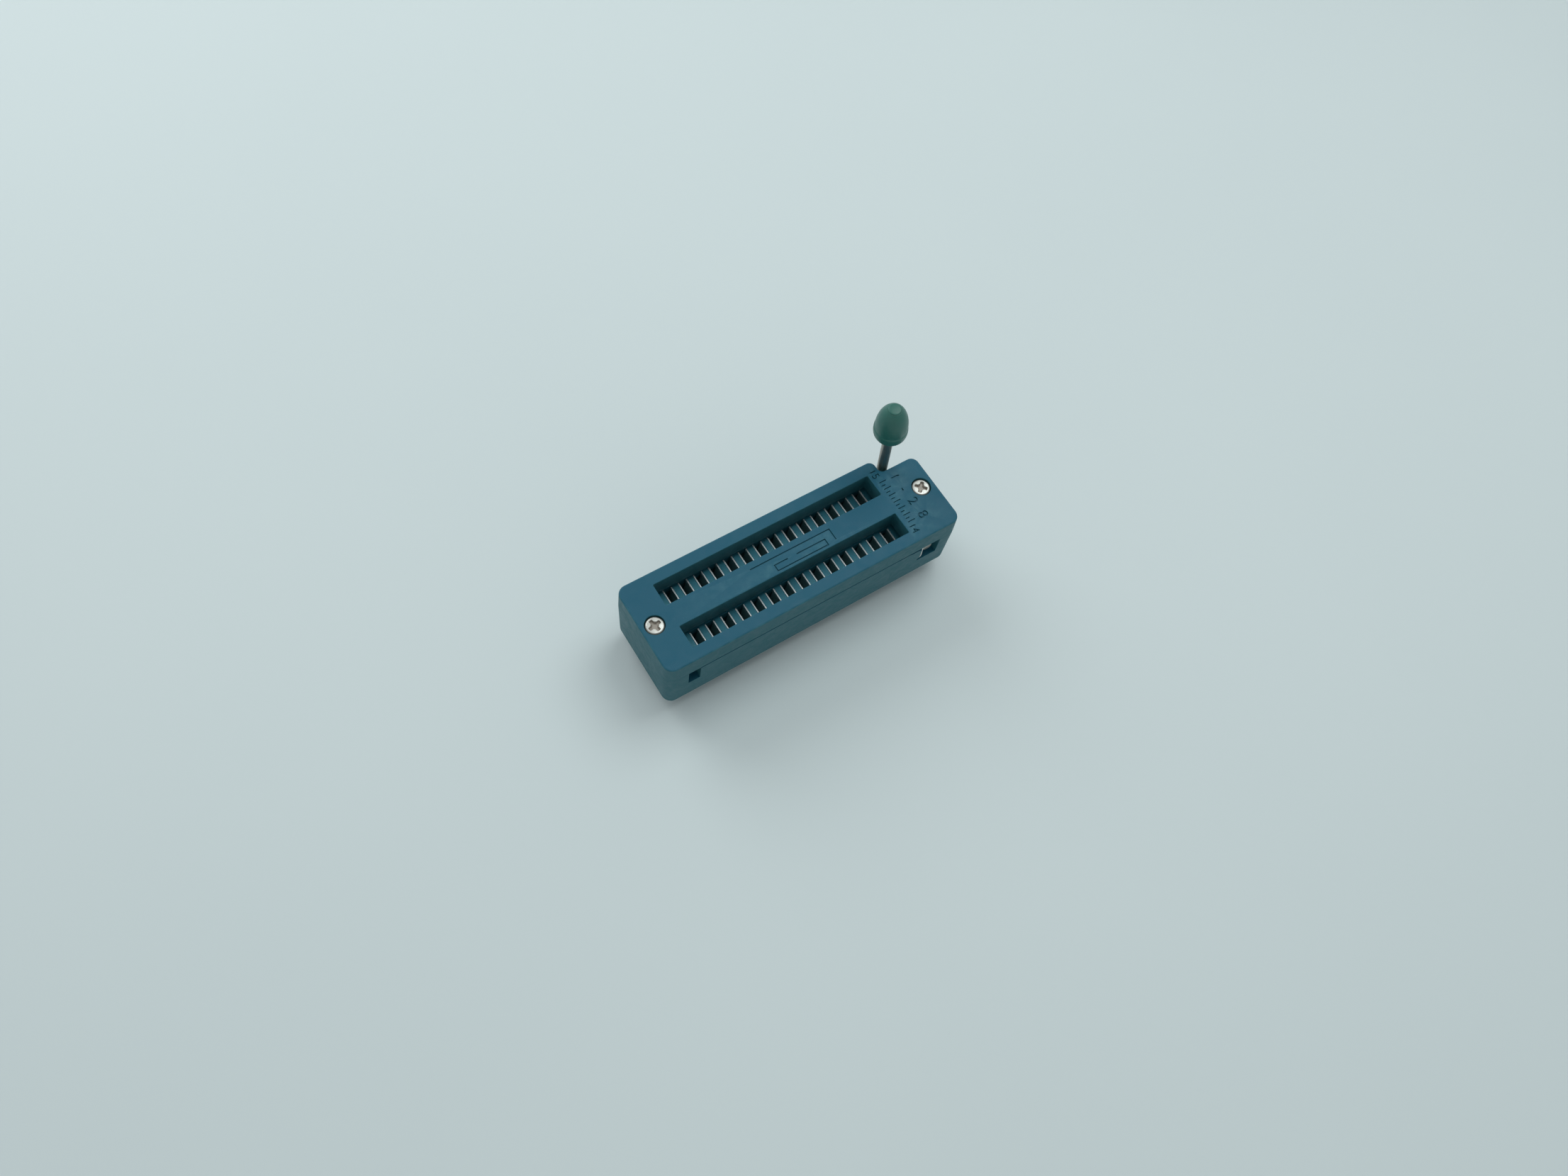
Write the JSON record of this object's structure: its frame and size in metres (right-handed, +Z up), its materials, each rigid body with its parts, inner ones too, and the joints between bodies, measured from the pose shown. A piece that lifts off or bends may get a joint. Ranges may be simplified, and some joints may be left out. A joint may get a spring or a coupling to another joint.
{
  "type": "zero insertion force dip socket",
  "caption": "Lever-operated zero-insertion-force test socket: a slotted moulded body over two rows of sprung contacts, with a corner lever that turns a cam.",
  "frame": {"origin": "middle of the base's underside, on the plane that seats on a board", "axes": "+X along the body towards the lever's end, +Y towards the side that the lever's arm stands on, +Z up out of the board"},
  "size_m": [0.05, 0.0162, 0.0295],
  "materials": {
    "housing": "satin moulded, teal blue",
    "comb": "satin moulded, slightly greener than the housing",
    "knob_plastic": "satin moulded, green teal",
    "lever_steel": "bright drawn wire",
    "screw_steel": "nickel plated",
    "spring_steel": "plain spring strip",
    "contact_tin": "bright plated copper alloy"
  },
  "bodies": {
    "base": {"base": "housing", "cover": "housing", "retainer_clip": "spring_steel", "screw_left": "screw_steel", "screw_right": "screw_steel", "contact_front_01": "contact_tin", "contact_front_02": "contact_tin", "contact_front_03": "contact_tin", "contact_front_04": "contact_tin", "contact_front_05": "contact_tin", "contact_front_06": "contact_tin", "contact_front_07": "contact_tin", "contact_front_08": "contact_tin", "contact_front_09": "contact_tin", "contact_front_10": "contact_tin", "contact_front_11": "contact_tin", "contact_front_12": "contact_tin", "contact_front_13": "contact_tin", "contact_front_14": "contact_tin", "contact_back_01": "contact_tin", "contact_back_02": "contact_tin", "contact_back_03": "contact_tin", "contact_back_04": "contact_tin", "contact_back_05": "contact_tin", "contact_back_06": "contact_tin", "contact_back_07": "contact_tin", "contact_back_08": "contact_tin", "contact_back_09": "contact_tin", "contact_back_10": "contact_tin", "contact_back_11": "contact_tin", "contact_back_12": "contact_tin", "contact_back_13": "contact_tin", "contact_back_14": "contact_tin"},
    "slider": {"slider": "comb"},
    "lever": {"lever": "lever_steel", "knob": "knob_plastic"}
  },
  "joints": [
    {"name": "lever_swing", "type": "hinge", "parent": "base", "child": "lever", "pos_m": [0.0204, 0, 0.0055], "axis": [0, 1, 0], "range_deg": [0, 95]},
    {"name": "slider_travel", "type": "slide", "parent": "base", "child": "slider", "axis": [-1, 0, 0], "range_m": [0, 0.00053], "deforming": ["contact_front_01", "contact_front_02", "contact_front_03", "contact_front_04", "contact_front_05", "contact_front_06", "contact_front_07", "contact_front_08", "contact_front_09", "contact_front_10", "contact_front_11", "contact_front_12", "contact_front_13", "contact_front_14", "contact_back_01", "contact_back_02", "contact_back_03", "contact_back_04", "contact_back_05", "contact_back_06", "contact_back_07", "contact_back_08", "contact_back_09", "contact_back_10", "contact_back_11", "contact_back_12", "contact_back_13", "contact_back_14"]}
  ],
  "couplings": [
    {"joint": "slider_travel", "follows": "lever_swing", "m_per_rad": 0.000319}
  ]
}
